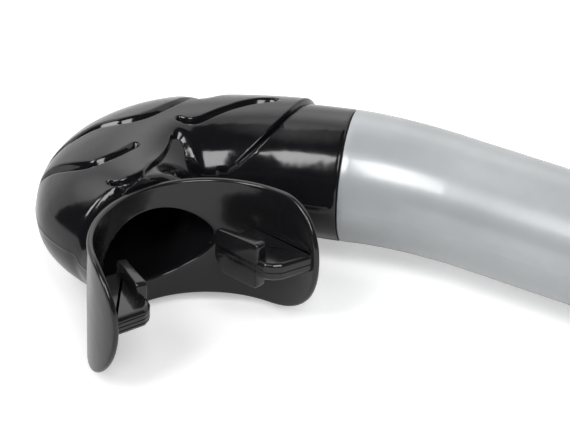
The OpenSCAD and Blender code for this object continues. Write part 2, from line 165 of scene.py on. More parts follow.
# %% Tubes from a cylinder primitive
def net_on_cylinder(name, rows, sides):
    """Cylinder without ends, one high and one in radius, with rows of faces."""
    start_clean()
    bpy.ops.mesh.primitive_cylinder_add(
        vertices=sides, radius=1, depth=1, end_fill_type="NOTHING"
    )
    piece = bpy.context.object
    piece.name = name
    bpy.ops.object.mode_set(mode="EDIT")
    mesh = bmesh.from_edit_mesh(piece.data)
    deselect(mesh)
    for edge in mesh.edges:
        upright = abs(edge.verts[0].co.z - edge.verts[1].co.z) > 0.5
        edge.select = upright
    bmesh.update_edit_mesh(piece.data)
    bpy.ops.mesh.subdivide(number_cuts=rows - 1)
    bpy.ops.object.mode_set(mode="OBJECT")
    return piece


def lay_rings(name, rings, ring_closed=False):
    """Mesh tube through rings, an array of rows by sides by three, in metres."""
    rows, sides = rings.shape[:2]
    piece = net_on_cylinder(name, rows - 1, sides)
    co = coordinates(piece)
    row = np.rint((co[:, 2] + 0.5) * (rows - 1)).astype(int)
    side = np.rint(np.arctan2(co[:, 1], co[:, 0]) / (2 * math.pi) * sides).astype(int) % sides
    set_coordinates(piece, rings[row, side])
    if ring_closed:
        merge_doubles(piece)
    piece.data.update()
    return piece


# %% [markdown]
# A piece is finished when it is smooth, has its material, rides on its body and the CAD nodes
# that it stands for are hidden. Every piece takes the same few steps, so they are one helper.

# %% Finishing a piece
def finish_piece(piece, body, material, nodes, smooth_angle=40):
    """Smooth shading, material and body for a piece; the CAD nodes that it stands for are hidden."""
    start_clean()
    bpy.context.view_layer.objects.active = piece
    piece.select_set(True)
    bpy.ops.object.transform_apply(location=True, rotation=True, scale=True)
    bpy.ops.object.shade_smooth_by_angle(angle=math.radians(smooth_angle))
    piece.data.materials.clear()
    piece.data.materials.append(material)
    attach(piece, body)
    if nodes:
        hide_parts(*nodes)
    piece.data.calc_loop_triangles()
    low, high = (np.array(piece.bound_box).min(0), np.array(piece.bound_box).max(0))
    size = " x ".join(f"{v / mm:.1f}" for v in high - low)
    print(f"{piece.name}: {size} mm, {len(piece.data.loop_triangles)} triangles")
    return piece


# %% [markdown]
# ## The elbow's path
#
# Seen square to its bends, the elbow is a straight collar, a slow curve, a tight hook back
# towards the mouth and a short neck. Each stretch is a line or an arc, so the point and the
# heading at any distance from the rim come from a formula, and nothing has to be traced.

# %% Path of the elbow
collar_len = 9.3
lead_r, lead_angle = 64.0, math.radians(18.5)
hook_r, hook_angle = 16.5, math.radians(117.3)
neck_len = 3.45
hook_at = collar_len + lead_r * lead_angle
neck_at = hook_at + hook_r * hook_angle
elbow_len = neck_at + neck_len


def elbow_path(s):
    """Plan point and heading, s mm from the rim, in the rim's frame."""
    s = np.asarray(s, float)
    lead = np.clip((s - collar_len) / lead_r, 0, lead_angle)
    hook = np.clip((s - hook_at) / hook_r, 0, hook_angle)
    heading = lead + hook
    straight = np.minimum(s, collar_len)
    beyond = np.maximum(s - neck_at, 0)
    x = straight + lead_r * np.sin(lead) + beyond * np.cos(heading)
    x = x + hook_r * (np.sin(heading) - np.sin(lead))
    y = lead_r * (1 - np.cos(lead)) + beyond * np.sin(heading)
    y = y + hook_r * (np.cos(lead) - np.cos(heading))
    return x, y, heading


def eased(s, knots):
    """Value at s on (station, value) knots, eased from each knot to the next."""
    s = np.asarray(s, float)
    value = np.full(s.shape, float(knots[0][1]))
    for (s0, v0), (s1, v1) in zip(knots, knots[1:]):
        t = np.clip((s - s0) / (s1 - s0), 0, 1)
        value = np.where(s > s0, v0 + (v1 - v0) * t * t * (3 - 2 * t), value)
    return value


x, y, heading = elbow_path(elbow_len)
print(f"elbow path {elbow_len:.1f} mm, ends at {x:.1f}, {y:.1f}")
print(f"its heading there is {math.degrees(heading):.1f} degrees from the collar's")

# %% [markdown]
# ## The elbow's sections
#
# Across the path the elbow is an ellipse whose size changes along the way: round at the collar,
# flattened at the waist, full at the outside of the hook and flat again at the neck. It reaches
# further to the outside of the hook than to the inside, where the rubber nearly meets itself.
# The numbers here are the tops of the raised panels. The ground between them lies lower. The
# top stays full until just behind the flange and drops there, so the sides and the top have
# their own stations.

# %% Sections of the elbow
foot_r = 13.4
ground_depth = 1.1
panel_r = foot_r + ground_depth
waist_at, bulb_at, brow_at = 31, 58, 65.0
outer_w, inner_w, waist_h, bulb_h = 17.7, 13.8, 12.8, 13.3
neck_w, brow_h, brow_drop = 15.0, 11.0, 1.6
outer_knots = [(0, panel_r), (waist_at, outer_w), (bulb_at, outer_w), (elbow_len, neck_w)]
inner_knots = [(0, panel_r), (waist_at, inner_w), (bulb_at, inner_w), (elbow_len, neck_w)]
height_knots = [(0, panel_r), (waist_at, waist_h), (brow_at, bulb_h), (elbow_len, brow_h)]
lift_knots = [(0, 0), (brow_at, 0), (elbow_len, -brow_drop)]


def reach(s, share):
    """How far the panels reach at s, on the side that share is on; inside the hook is > 0."""
    return np.where(share > 0, eased(s, inner_knots), eased(s, outer_knots))


def on_plan(s, share):
    """Plan point at s, a share of the reach to the side."""
    x, y, heading = elbow_path(s)
    u = share * reach(s, share)
    return np.stack([x - u * np.sin(heading), y + u * np.cos(heading)], -1)


# %% [markdown]
# ## The relief on the elbow
#
# Flame-shaped panels stand a millimetre above the ground between them, and grooves run through
# the largest. They could be cut with booleans, but the edges of a boolean need cleaning and the
# real edges are rounded. Instead the relief is drawn in plan, as an engraver would lay it out:
# a groove is a smooth line with a half width and a depth at each knot, and low ground is a
# smooth outline. The depth at any point of the skin follows from its distance to them, so both
# faces of the elbow carry the same relief, as they do when two mould halves are cut alike.

# %% Grooves, low ground and the collar's edge
least_floor = 0.1  # half width of the flat floor that every groove keeps
edge_curve = 1.6  # above 1, an edge is steep at its foot and rolls over at its top

# Each groove: how wide its edges are rounded, then knots of x and y in the rim's frame, half
# width and depth, all in mm
groove_knots = {
    "channel": (1.0, [
        (56.6, 19.6, 0.5, 0.4), (55.4, 18.1, 0.9, 0.9), (53.8, 16.7, 1.2, 1.2),
        (52.2, 15.4, 1.5, 1.3), (50.4, 13.9, 1.6, 1.3), (48.5, 12.7, 1.7, 1.3),
        (46.5, 12.2, 1.7, 1.3), (44.5, 11.7, 1.65, 1.3), (42.7, 10.8, 1.6, 1.3),
        (41.0, 9.5, 1.5, 1.3), (39.5, 7.7, 1.4, 1.3), (38.0, 5.3, 1.35, 1.3),
        (36.6, 2.6, 1.35, 1.3), (35.1, -0.2, 1.3, 1.3), (34.2, -3.4, 1.35, 1.3),
        (33.3, -6.8, 1.5, 1.3), (32.0, -10.0, 1.3, 1.1), (30.5, -13.5, 0.8, 0.6)]),
    "bank": (4.6, [
        (33.8, -2.0, 4.6, 0.1), (32.9, -4.8, 4.6, 0.9), (32.2, -7.0, 4.6, 1.35),
        (31.2, -10.0, 4.6, 1.2), (29.6, -13.5, 4.6, 0.6)]),
    "flame": (1.0, [
        (57.4, 24.2, 0.6, 0.4), (55.2, 25.6, 1.1, 1.1), (52.7, 26.9, 1.25, 1.3),
        (50.3, 28.1, 1.35, 1.3), (48.1, 28.8, 1.45, 1.3), (45.9, 28.9, 1.4, 1.3),
        (44.2, 28.1, 1.25, 1.3), (42.6, 26.8, 1.2, 1.3), (41.1, 25.0, 1.15, 1.3),
        (39.8, 22.6, 1.1, 1.3), (39.0, 20.8, 0.95, 1.2)]),
    "root": (0.6, [
        (40.7, 34.9, 0.5, 1.0), (39.7, 35.3, 0.8, 1.2), (38.1, 35.0, 0.85, 1.2),
        (36.6, 33.8, 0.8, 1.2), (35.6, 32.4, 0.7, 1.2), (34.9, 31.0, 0.6, 1.1)]),
    "wave": (0.8, [
        (33.3, 7.9, 1.05, 1.2), (32.4, 8.1, 1.1, 1.3), (31.0, 7.9, 1.1, 1.3),
        (29.6, 7.0, 1.05, 1.3), (28.4, 5.7, 1.05, 1.3), (26.3, 3.2, 1.15, 1.3),
        (24.6, 1.4, 1.25, 1.3), (22.9, -0.3, 1.5, 1.3), (21.2, -1.7, 1.65, 1.3),
        (19.4, -2.8, 1.75, 1.3), (17.7, -3.4, 1.6, 1.3), (16.9, -3.6, 1.45, 1.2)]),
    "gutter": (0.35, [
        (8.9, -15.0, 0.4, 1.2), (10.1, -7.5, 0.4, 1.4), (11.2, -2.3, 0.42, 1.5),
        (11.8, 0.1, 0.42, 1.5), (12.5, 1.9, 0.42, 1.5), (13.2, 3.6, 0.42, 1.5),
        (13.8, 5.0, 0.42, 1.5), (15.3, 7.4, 0.42, 1.5), (16.8, 9.5, 0.4, 1.45),
        (18.4, 11.3, 0.36, 1.3), (20.0, 12.8, 0.3, 1.1)]),
    "crease": (0.35, [
        (30.1, 14.7, 0.2, 1.1), (29.3, 15.5, 0.36, 1.4), (28.3, 16.1, 0.4, 1.5),
        (27.2, 16.2, 0.38, 1.5), (26.0, 16.1, 0.2, 1.1)]),
    "pit": (0.5, [(31.9, 25.8, 0.65, 1.6), (31.0, 23.9, 0.95, 2.1), (30.1, 22.2, 1.1, 2.3)]),
}
# x, y and how wide the ground's edge is rounded there
ground_outline = [
    (32.5, 12.7, 2.2), (33.1, 13.3, 1.1), (33.05, 14.4, 0.9), (32.95, 15.7, 0.9),
    (33.0, 17.6, 0.9), (33.15, 20.2, 0.9), (33.4, 23.3, 0.9), (33.9, 26.4, 0.9),
    (34.2, 28.6, 0.9), (34.4, 30.2, 1.0), (33.9, 31.4, 3.0),
    (32.6, 33.0, 4.5), (31.0, 36.0, 4.5), (24.0, 36.0, 1.0), (16.0, 26.0, 1.0),
    (17.0, 15.0, 0.8), (19.6, 13.4, 0.7), (21.9, 14.4, 0.7), (24.3, 15.3, 0.7),
    (26.3, 15.9, 0.7), (27.2, 16.0, 0.75), (28.2, 15.9, 0.85), (29.2, 15.4, 1.0),
    (30.2, 14.3, 1.6), (31.1, 13.2, 2.0), (31.8, 12.7, 2.2),
]
collar_outline = [
    (-9.0, -24.0, 0.8), (6.0, -24.0, 0.8), (8.4, -17.5, 0.8), (9.5, -10.5, 0.8),
    (10.4, -5.0, 0.8), (11.0, -2.1, 0.9), (11.6, 0.2, 0.95), (12.2, 2.0, 0.95),
    (12.9, 3.6, 0.9), (13.5, 5.1, 0.9), (14.3, 6.4, 0.9), (15.7, 8.7, 0.9),
    (17.2, 10.6, 0.9), (18.1, 11.6, 0.9), (19.7, 13.1, 0.8), (21.5, 14.3, 0.8),
    (24.0, 16.0, 0.8), (20.0, 24.0, 0.8), (-9.0, 24.0, 0.8),
]

# %% Smooth lines, and how far a point is from them
def smooth(t):
    t = np.clip(t, 0, 1)
    return t * t * (3 - 2 * t)


def curve_through(knots, closed=False, steps=8):
    """Smooth curve through knots, whose first two values are the plan point."""
    k = np.array(knots, float)
    if closed:
        k = np.vstack([k[-1], k, k[:2]])
    else:
        k = np.vstack([2 * k[0] - k[1], k, 2 * k[-1] - k[-2]])
    t = np.linspace(0, 1, steps + 1)[:-1, None]
    curve = []
    for a, b, c, d in zip(k, k[1:], k[2:], k[3:]):
        curve.append(0.5 * (2 * b + (c - a) * t + (2 * a - 5 * b + 4 * c - d) * t**2
                            + (3 * b - a - 3 * c + d) * t**3))
    return np.vstack(curve + [k[-2:-1]])


def beside(p, line):
    """Distance of plan points to a line, and the line's other values at the nearest point."""
    nearest = np.full(len(p), 1e9)
    values = np.zeros((len(p), line.shape[1] - 2))
    for a, b in zip(line, line[1:]):
        d = b[:2] - a[:2]
        t = np.clip((p - a[:2]) @ d / (d @ d), 0, 1)[:, None]
        gap = np.hypot(*(p - a[:2] - t * d).T)
        closer = gap < nearest
        nearest[closer] = gap[closer]
        values[closer] = (a[2:] + (b[2:] - a[2:]) * t)[closer]
    return nearest, values


def inside(p, outline):
    """Which plan points lie inside a closed outline: an odd count of crossings to one side."""
    odd = np.zeros(len(p), bool)
    for (x0, y0), (x1, y1) in zip(outline, outline[1:]):
        crosses = (y0 > p[:, 1]) != (y1 > p[:, 1])
        if y0 != y1:
            odd ^= crosses & (p[:, 0] < x0 + (x1 - x0) * (p[:, 1] - y0) / (y1 - y0))
    return odd


def fall(distance, width):
    """Share of the full depth at a distance from the foot of an edge that is width wide."""
    return (1 - np.clip(distance / width, 0, 1)) ** edge_curve

# %% Depth of the relief
grooves = [(edge, curve_through(knots)) for edge, knots in groove_knots.values()]
low_ground = [curve_through(outline, closed=True) for outline in (ground_outline, collar_outline)]


def relief(s, share):
    """Depth in mm below the panels at s and share; the same above and below the plan."""
    s, share = np.broadcast_arrays(s, share)
    p = on_plan(s.ravel(), share.ravel())
    depth = np.zeros(len(p))
    for outline in low_ground:
        distance, width = beside(p, outline)
        distance[inside(p, outline[:, :2])] = 0
        depth = np.maximum(depth, ground_depth * fall(distance, width[:, 0]))
    for edge, line in grooves:
        distance, values = beside(p, line)
        half, deep = values.T
        floor = np.maximum(half - edge, least_floor)
        depth = np.maximum(depth, deep * fall(distance - floor, np.minimum(edge, half)))
    return depth.reshape(s.shape)


print("grooves:", ", ".join(f"{name} {len(line[1])} knots" for name, line in groove_knots.items()))

# %% [markdown]
# ## The elbow
#
# The elbow is one shell that closes on itself: up the outside from the rim to the flange, round
# a fillet that spreads onto the flange's back, and down the inside through the airway to the
# socket that the tube's spigot fills. A thin flash runs round the plan on the mould's parting
# line.
#
# The skin is made first, as an even net. Even squares small enough for the relief's edges would
# be a million, so only the faces across which the depth changes are divided, twice, while the
# net is still a plain cylinder. Then every point moves to its place on the skin.

# %% Sections of the skin and of the airway
arch_r, flange_wall = 22.55, 1.3
arch_out_r, arch_in_r = arch_r + flange_wall / 2, arch_r - flange_wall / 2
airway_w, airway_h, airway_drop, airway_point = 13.2, 7.85, 1.6, 1.25
spigot_r, spigot_bore_r, spigot_len = 10.6, 9.0, 12.0
neck_h = 10.8
skin_wall, end_gap, sink = 3.2, 0.2, 0.05
fillet_r, rim_r = 0.9, 0.35
flash_h, flash_w, flash_from = 0.09, 0.014, 1
lean_from = 45  # from here the sections lean, to end along the flange's back


def airway_knots(waist, bulb, end):
    """Knots of one reach of the airway, a wall's thickness inside the panels."""
    return [(spigot_len, spigot_bore_r), (waist_at, waist - skin_wall),
            (bulb_at, bulb - skin_wall), (elbow_len, end)]


airway_outer = airway_knots(outer_w, outer_w, airway_w)
airway_inner = airway_knots(inner_w, inner_w, airway_w)
airway_height = airway_knots(waist_h, bulb_h, airway_h)
airway_lift = [(0, 0), (bulb_at, 0), (elbow_len, -airway_drop)]
airway_egg = [(bulb_at, 1), (elbow_len, airway_point)]


def ring_at(s, u, z):
    """Points across the path at s: u to the inside of the hook, z up."""
    x, y, heading = elbow_path(s)
    return np.stack([x - u * np.sin(heading), y + u * np.cos(heading), z + 0 * x], -1)


def flange_back(w):
    """Depth of the flange's back, w from the mouth's centre line, in the mouth's frame."""
    return arch_r - np.sqrt(arch_out_r**2 - w**2)


def square_to(across, up, wide, high):
    """Unit vector square to an ellipse at a point of it."""
    normal = np.stack([across / wide, up / high])
    return normal / np.hypot(*normal)


def skin_depth(s, a):
    """How far the skin lies below the panels, less the thin flash on the parting line."""
    flash = flash_h * np.exp(-((np.abs(np.sin(a)) / flash_w) ** 2))
    return relief(s, np.cos(a)) - flash * smooth((s - flash_from) / 2)


def lean(s):
    """Share of the lean that the ends have, at s."""
    return smooth((s - lean_from) / (elbow_len - lean_from))


def skin_station(t, a):
    """Distance from the rim at a share t of the skin; it ends where the fillet begins."""
    s = end_gap + rim_r + (elbow_len - end_gap - rim_r) * t
    leave = flange_back(neck_w * np.cos(a)) - fillet_r
    return s + leave * lean(s)


def skin_section(s, a):
    across, up = np.cos(a), np.sin(a)
    wide, high = reach(s, across), eased(s, height_knots)
    sunk = skin_depth(s, a) * square_to(across, up, wide, high)
    return wide * across - sunk[0], eased(s, lift_knots) + high * up - sunk[1]


def skin_point(t, a):
    s = skin_station(t, a)
    return ring_at(s, *skin_section(s, a))


def egg(a, point):
    """Sine of a that rises later on the right arm's side, for an egg in place of an ellipse."""
    power = np.where(np.cos(a) > 0, point, 1)
    return np.sign(np.sin(a)) * np.abs(np.sin(a)) ** power


def airway_wall(s, a):
    """Point of the airway's wall, at s and turned a round the path."""
    across = np.cos(a)
    wide = np.where(across > 0, eased(s, airway_inner), eased(s, airway_outer))
    height = eased(s, airway_height) * egg(a, eased(s, airway_egg))
    return ring_at(s, wide * across, eased(s, airway_lift) + height)


# %% The skin, a net that is finer where the relief needs it
skin_rows, skin_columns = 150, 176
finest_change = 0.05  # mm of depth across a face, above which it is divided


def name_and_size(piece):
    return f"{piece.name}: {len(piece.data.vertices)} points, {len(piece.data.polygons)} faces"


def net_values(piece):
    """Height share and angle of every point of a net that still lies on its cylinder."""
    co = coordinates(piece).astype(float)
    return np.clip(co[:, 2] + 0.5, 0, 1), np.arctan2(co[:, 1], co[:, 0])


def divide_where(piece, depth_at, change):
    """Divides each face in four where the depth changes by more than change across it."""
    depth = depth_at(*net_values(piece))
    bpy.ops.object.mode_set(mode="EDIT")
    mesh = bmesh.from_edit_mesh(piece.data)
    deselect(mesh)
    chosen = 0
    for face in mesh.faces:
        at = [depth[v.index] for v in face.verts]
        on_end = any(v.is_boundary for v in face.verts)
        if not on_end and max(at) - min(at) > change:
            face.select_set(True)
            chosen += 1
    bmesh.update_edit_mesh(piece.data)
    bpy.ops.mesh.subdivide(number_cuts=1)
    bpy.ops.object.mode_set(mode="OBJECT")
    print(name_and_size(piece), "after dividing", chosen, "faces")


elbow = net_on_cylinder("elbow", skin_rows, skin_columns)
for _ in range(2):
    divide_where(elbow, lambda t, a: skin_depth(skin_station(t, a), a), finest_change)
set_coordinates(elbow, moved(at_rim, skin_point(*net_values(elbow)) * mm))

# %% The rest of the elbow's shell, and the join
angles = np.arange(skin_columns) * 2 * math.pi / skin_columns


def in_rim_frame(points):
    """Points of the mouth's frame, in mm, told in the rim's frame."""
    x, y, heading = elbow_path(elbow_len)
    c, s = math.cos(heading), math.sin(heading)
    return np.stack([x + c * points[..., 0] - s * points[..., 1],
                     y + s * points[..., 0] + c * points[..., 1], points[..., 2]], -1)


def fillet_rings(steps):
    """Rings that spread the neck's last section onto the back of the flange."""
    across, up = np.cos(angles), np.sin(angles)
    u, z = skin_section(skin_station(1, angles), angles)
    normal = square_to(across, up, neck_w, neck_h)
    rings = []
    for a in np.linspace(0, math.pi / 2, steps + 1)[1:]:
        w = u + normal[0] * fillet_r * (1 - math.cos(a))
        h = z + normal[1] * fillet_r * (1 - math.cos(a))
        m = flange_back(w) - fillet_r * (1 - math.sin(a)) + sink * a
        rings.append(in_rim_frame(np.stack([m, w, h], -1)))
    return rings


def round_ring(radius, s):
    return ring_at(s + 0 * angles, radius * np.cos(angles), radius * np.sin(angles))


socket_r, socket_end = spigot_r + 0.05, spigot_len + end_gap
rings = [skin_point(1, angles)] + fillet_rings(8)
mouth_end = elbow_len + flange_back(airway_w * np.cos(angles)) + sink
for s in np.linspace(elbow_len, socket_end, 24):
    s = s + (mouth_end - elbow_len) * lean(s)
    rings.append(airway_wall(s, angles))
rings += [round_ring(socket_r, s) for s in (socket_end, socket_end / 2, end_gap)]
for a in np.linspace(0, math.pi / 2, 4)[:-1]:  # the rim's rounded edge
    edge_r = foot_r - rim_r * (1 - math.sin(a))
    rings.append(round_ring(edge_r, end_gap + rim_r * (1 - math.cos(a))))
rings.append(skin_point(0, angles))
join_onto(elbow, lay_rings("elbow_inside", moved(at_rim, np.array(rings) * mm)))
print(name_and_size(elbow), "when closed")

# %% [markdown]
# ## The mouth flange
#
# The flange is a thin wall on an arch that lies behind the lips, with the airway opening in its
# middle. Unrolled it is a flat plate with round ends and a hole, so it is laid out flat, as
# rings that grow from the hole to the outline, and then rolled onto the arch. The same rings
# come back over the rounded rim and along the other face, so the wall closes on itself.

# %% Flange, laid out flat
arm_len = 38.7
flange_top, flange_bottom = 11.3, 14.6
corner_top, corner_bottom = 10.8, 13.0
quarter = 80  # columns in each quarter of the flange


def evenly(points, count):
    """Count points at even steps along a line of points, without its last."""
    points = np.array(points, float)
    run = np.r_[0, np.cumsum(np.hypot(*np.diff(points, axis=0).T))]
    at = np.linspace(0, run[-1], count + 1)[:-1]
    return np.column_stack([np.interp(at, run, points[:, i]) for i in range(points.shape[1])])


def corner(side, height, corner_len):
    """A quarter of the outline, from the tip of an arm to the middle of the edge."""
    a = np.linspace(0, math.pi / 2, 40)
    round_end = np.column_stack([arm_len - corner_len * (1 - np.cos(a)), height * np.sin(a)])
    points = np.vstack([round_end, [[0, height]]])
    points[:, 0] *= side
    return points


outline = np.vstack([
    evenly(corner(1, flange_top, corner_top), quarter),
    evenly(corner(-1, flange_top, corner_top)[::-1], quarter),
    evenly(corner(-1, -flange_bottom, corner_bottom), quarter),
    evenly(corner(1, -flange_bottom, corner_bottom)[::-1], quarter),
])
turn = np.arange(4 * quarter) * math.pi / 2 / quarter
hole = np.column_stack([
    arch_r * np.arcsin(airway_w * np.cos(turn) / arch_r),
    airway_h * egg(turn, airway_point) - airway_drop,
])

# %% Flange, rolled onto its arch
def rolled(points, depth):
    """Flat points (along, up), depth above the inner face, rolled onto the arch."""
    r = arch_in_r + depth
    a = points[:, 0] / arch_r
    return np.stack([arch_r - r * np.cos(a), r * np.sin(a), points[:, 1]], -1)


def inwards(points, distance):
    """A closed outline moved to its inside, square to itself."""
    along = np.roll(points, -1, 0) - np.roll(points, 1, 0)
    along = along / np.hypot(*along.T)[:, None]
    return points + distance * np.column_stack([-along[:, 1], along[:, 0]])


def rounded_wall(points, side, steps, radius):
    """Rings over an edge of the wall, from its inner to its outer face."""
    turns = [(math.sin(a), math.cos(a)) for a in np.linspace(0, math.pi / 2, steps)]
    up_to_edge = [(inwards(points, side * radius * (1 - sine)), radius * (1 - cosine))
                  for sine, cosine in turns]
    over_edge = [(inwards(points, side * radius * (1 - cosine)),
                  flange_wall - radius * (1 - sine)) for sine, cosine in turns]
    return up_to_edge + over_edge


rim_round, hole_round = 0.55, 0.35


def face_ring(t, depth):
    """Ring of a face, t of the way from the hole to the outline."""
    return inwards(hole, -hole_round) * (1 - t) + inwards(outline, rim_round) * t, depth


face_steps = 24
rings = [face_ring(t, 0) for t in np.linspace(0, 1, face_steps)]
rings += rounded_wall(outline, 1, 6, rim_round)[1:]
rings += [face_ring(t, flange_wall) for t in np.linspace(1, 0, face_steps)[1:]]
rings += rounded_wall(hole, -1, 4, hole_round)[::-1][1:]
rings = np.array([rolled(points, depth) for points, depth in rings])
flange = lay_rings("mouth_flange_skin", moved(at_mouth, rings * mm), ring_closed=True)
print("flange rings:", len(rings))

# %% [markdown]
# ## The bite tabs
#
# Each tab is a plate that the teeth close on, with a lug behind them. Both are slabs: an
# outline that rises level by level. A circle would give the outline, but the plate's front is
# an arc between straight sides, so the outline is written as corners with a radius each and
# the levels pull it in where the rim is rounded or the mould left a line. The lugs are wedges,
# thin at the flange and thick at the plate's front, so a slab's upper face can lean.

# %% Slabs with a rounded outline
def rounded_outline(corners, count):
    """Even points on an outline given by corners (x, y, radius), counterclockwise."""
    points = []
    for i, (x, y, radius) in enumerate(corners):
        here = np.array([x, y], float)
        before = np.array(corners[i - 1][:2], float) - here
        after = np.array(corners[(i + 1) % len(corners)][:2], float) - here
        before, after = before / np.hypot(*before), after / np.hypot(*after)
        half = math.acos(np.clip(before @ after, -1, 1)) / 2
        centre = here + (before + after) / np.hypot(*(before + after)) * radius / math.sin(half)
        reach_back = radius / math.tan(half)
        first, last = here + before * reach_back - centre, here + after * reach_back - centre
        for t in np.linspace(0, 1, 9):
            ray = first * (1 - t) + last * t
            points.append(centre + ray / np.hypot(*ray) * radius)
    points.append(points[0])
    return evenly(points, count)


def slab(name, outline, levels, to_row, splay=0.0):
    """Solid that rises through levels of (height, inset); to_row takes mm points to the row.

    With splay, the upper face leans away, by that much for each mm along the first axis.
    """
    rings = np.array([
        np.column_stack([inwards(outline, inset), np.full(len(outline), float(z))])
        for z, inset in levels
    ])
    bottom, top = levels[0][0], levels[-1][0]
    rings[..., 2] += splay * rings[..., 0] * (rings[..., 2] - bottom) / (top - bottom)
    piece = lay_rings(name, moved(to_row, rings * mm))
    bpy.ops.object.mode_set(mode="EDIT")
    bpy.ops.mesh.select_all(action="SELECT")
    bpy.ops.mesh.fill_holes(sides=0)
    bpy.ops.mesh.normals_make_consistent(inside=False)
    bpy.ops.object.mode_set(mode="OBJECT")
    return piece


line_half, line_floor = 0.16, 0.05  # half widths of a mould line, at its top and its floor


def rounded_levels(half, radius, lines=()):
    """Levels of a slab with rounded edges, and thin lines pressed in at the given heights."""
    edge = [(half - radius * (1 - math.cos(a)), radius * (1 - math.sin(a)))
            for a in np.linspace(math.pi / 2, 0, 6)]
    levels = [(-z, inset) for z, inset in reversed(edge)]
    for z in lines:
        levels += [(z - line_half, 0), (z - line_floor, line_half),
                   (z + line_floor, line_half), (z + line_half, 0)]
    return levels + edge


# %% Plates and lugs
bite_half = 1.9
tab_back, tab_front, rim_reach = 10.05, 21.05, 3.8
lug_back, lug_front, lug_drop, lug_step = 4.4, 5.3, 4.8, 1.9
rim_share = 0.75  # of the arch's radius, where the plate's rim ends on the arm
into_wall, wall_stops = 0.5, (21, 17)  # how far the plate reaches into the arm, and where


def bite_tab(name, side, gap_back, gap_front, lines, lug_back_t, lug_front_t):
    """Plate and lug on one arm; side is 1 for the right arm and -1 for the left.

    The gaps are from the mouth's centre line, and the lug's thickness grows from back to front.
    """
    reach_w = arch_r * rim_share - gap_front
    rim = [(tab_front + rim_reach * math.sin(a), gap_front + reach_w * (1 - math.cos(a)), 1.2)
           for a in np.radians([24, 48, 70])]
    wall = arch_in_r + into_wall
    on_wall = [(m, math.sqrt(wall**2 - (arch_r - m) ** 2), 0.3)
               for m in (tab_front + rim_reach, *wall_stops, tab_back)]
    corners = [(tab_back, gap_back, 0.5), (tab_front, gap_front, 0.8)] + rim + on_wall
    flip = Matrix.Diagonal((1, side, 1, 1))
    plate = slab(name, rounded_outline(corners, 180), rounded_levels(bite_half, 0.9, lines),
                 at_mouth @ flip)
    tilt = math.atan2(gap_front - gap_back, tab_front - tab_back)
    length = (tab_front - tab_back) / math.cos(tilt)
    side_view = rounded_outline(
        [(0, -bite_half, 0.8), (lug_step, -lug_drop, 0.9), (length, -lug_drop, 1.2),
         (length, lug_front, 0.9), (0, lug_back, 1.2)], 120)
    to_gap = Matrix.Translation(Vector((tab_back, gap_back, 0)) * mm)
    to_middle = Matrix.Translation(Vector((0, lug_back_t / 2, 0)) * mm)
    on_edge = Matrix(((1, 0, 0, 0), (0, 0, 1, 0), (0, 1, 0, 0), (0, 0, 0, 1)))
    stand = to_gap @ Matrix.Rotation(tilt, 4, "Z") @ to_middle @ on_edge
    lug = slab(name + "_lug", side_view, rounded_levels(lug_back_t / 2, 0.3),
               at_mouth @ flip @ stand, (lug_front_t - lug_back_t) / length)
    join_onto(plate, lug)
    return plate


right_tab = bite_tab("right_bite_tab", 1, 9.0, 11.7, (0,), 1.1, 2.7)
left_tab = bite_tab("left_bite_tab", -1, 11.2, 12.9, (-0.9, 0, 0.9), 1.8, 2.3)
print(name_and_size(right_tab))
print(name_and_size(left_tab))

# %% [markdown]
# ## The tube
#
# The tube is one moulded pipe: a straight barrel, a bend that tightens towards the foot, a
# flare that meets the collar flush, and a thinner spigot that the collar grips. Its rings run
# up the outside and back down the inside. A bend with even curvature would be one arc. Here the
# curvature grows evenly, and two short series give the point at any distance.

# %% Sizes and rings of the tube
low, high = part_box("tip_band")
tip_end = high.x / mm
tip_r = high.z / mm
tip_len, tip_lip = 32.0, 1.6
barrel_r, barrel_wall = 12.7, 2.0
bore_r = barrel_r - barrel_wall
barrel_start, barrel_end = -90.0, tip_end - tip_lip
bend_len, bend_angle = 33.6, math.radians(19.45)
flare_len = 25.0
foot_round, spigot_round = 0.25, 0.4
throat_at, throat_len = 1.5, 8.0  # where the bore opens from the spigot's, and over how much
bead = ((7, 0), (6.4, 0.5), (5.6, 0.5), (5, 0))  # distance from the foot, and rise
seam_turn = math.radians(3.4)  # the tube's mould line, turned a little out of the plan
seam_h, seam_w = 0.05, 0.022
tube_sides = 216

tube_angles = np.arange(tube_sides) * 2 * math.pi / tube_sides
tube_angles -= 0.3 * np.sin(2 * tube_angles)  # closer together at the mould line
seam = seam_h * np.exp(-((np.abs(np.sin(tube_angles)) / seam_w) ** 2))


def tube_ring(x, y, heading, radius, ridge=0.0):
    """Ring of the tube in the row frame, with its two mould lines."""
    a = tube_angles + seam_turn
    r = radius + ridge * seam
    u = r * np.cos(a)
    return np.stack([x - u * math.sin(heading), y + u * math.cos(heading), r * np.sin(a)], -1)


def bend_ring(t, radius, ridge=0.0):
    """Ring of the bend, t back from the start of the barrel."""
    a = bend_angle * (t / bend_len) ** 2
    x = barrel_start - t * (1 - a**2 / 10 + a**4 / 216)
    y = -t * (a / 3 - a**3 / 42)
    return tube_ring(x, y, a, radius, ridge)


def flare(t):
    return barrel_r + (foot_r - barrel_r) * np.clip(1 - (bend_len - t) / flare_len, 0, 1)


def spigot_ring(s, radius):
    """Ring of the spigot, s past the foot; negative s lies in the foot."""
    rim = at_rim.translation / mm
    return tube_ring(rim.x - s * math.cos(bend_angle), rim.y - s * math.sin(bend_angle),
                     bend_angle, radius)


def bore_at(t):
    opening = smooth((bend_len - t - throat_at) / throat_len)
    return spigot_bore_r + (flare(t) - barrel_wall - spigot_bore_r) * opening

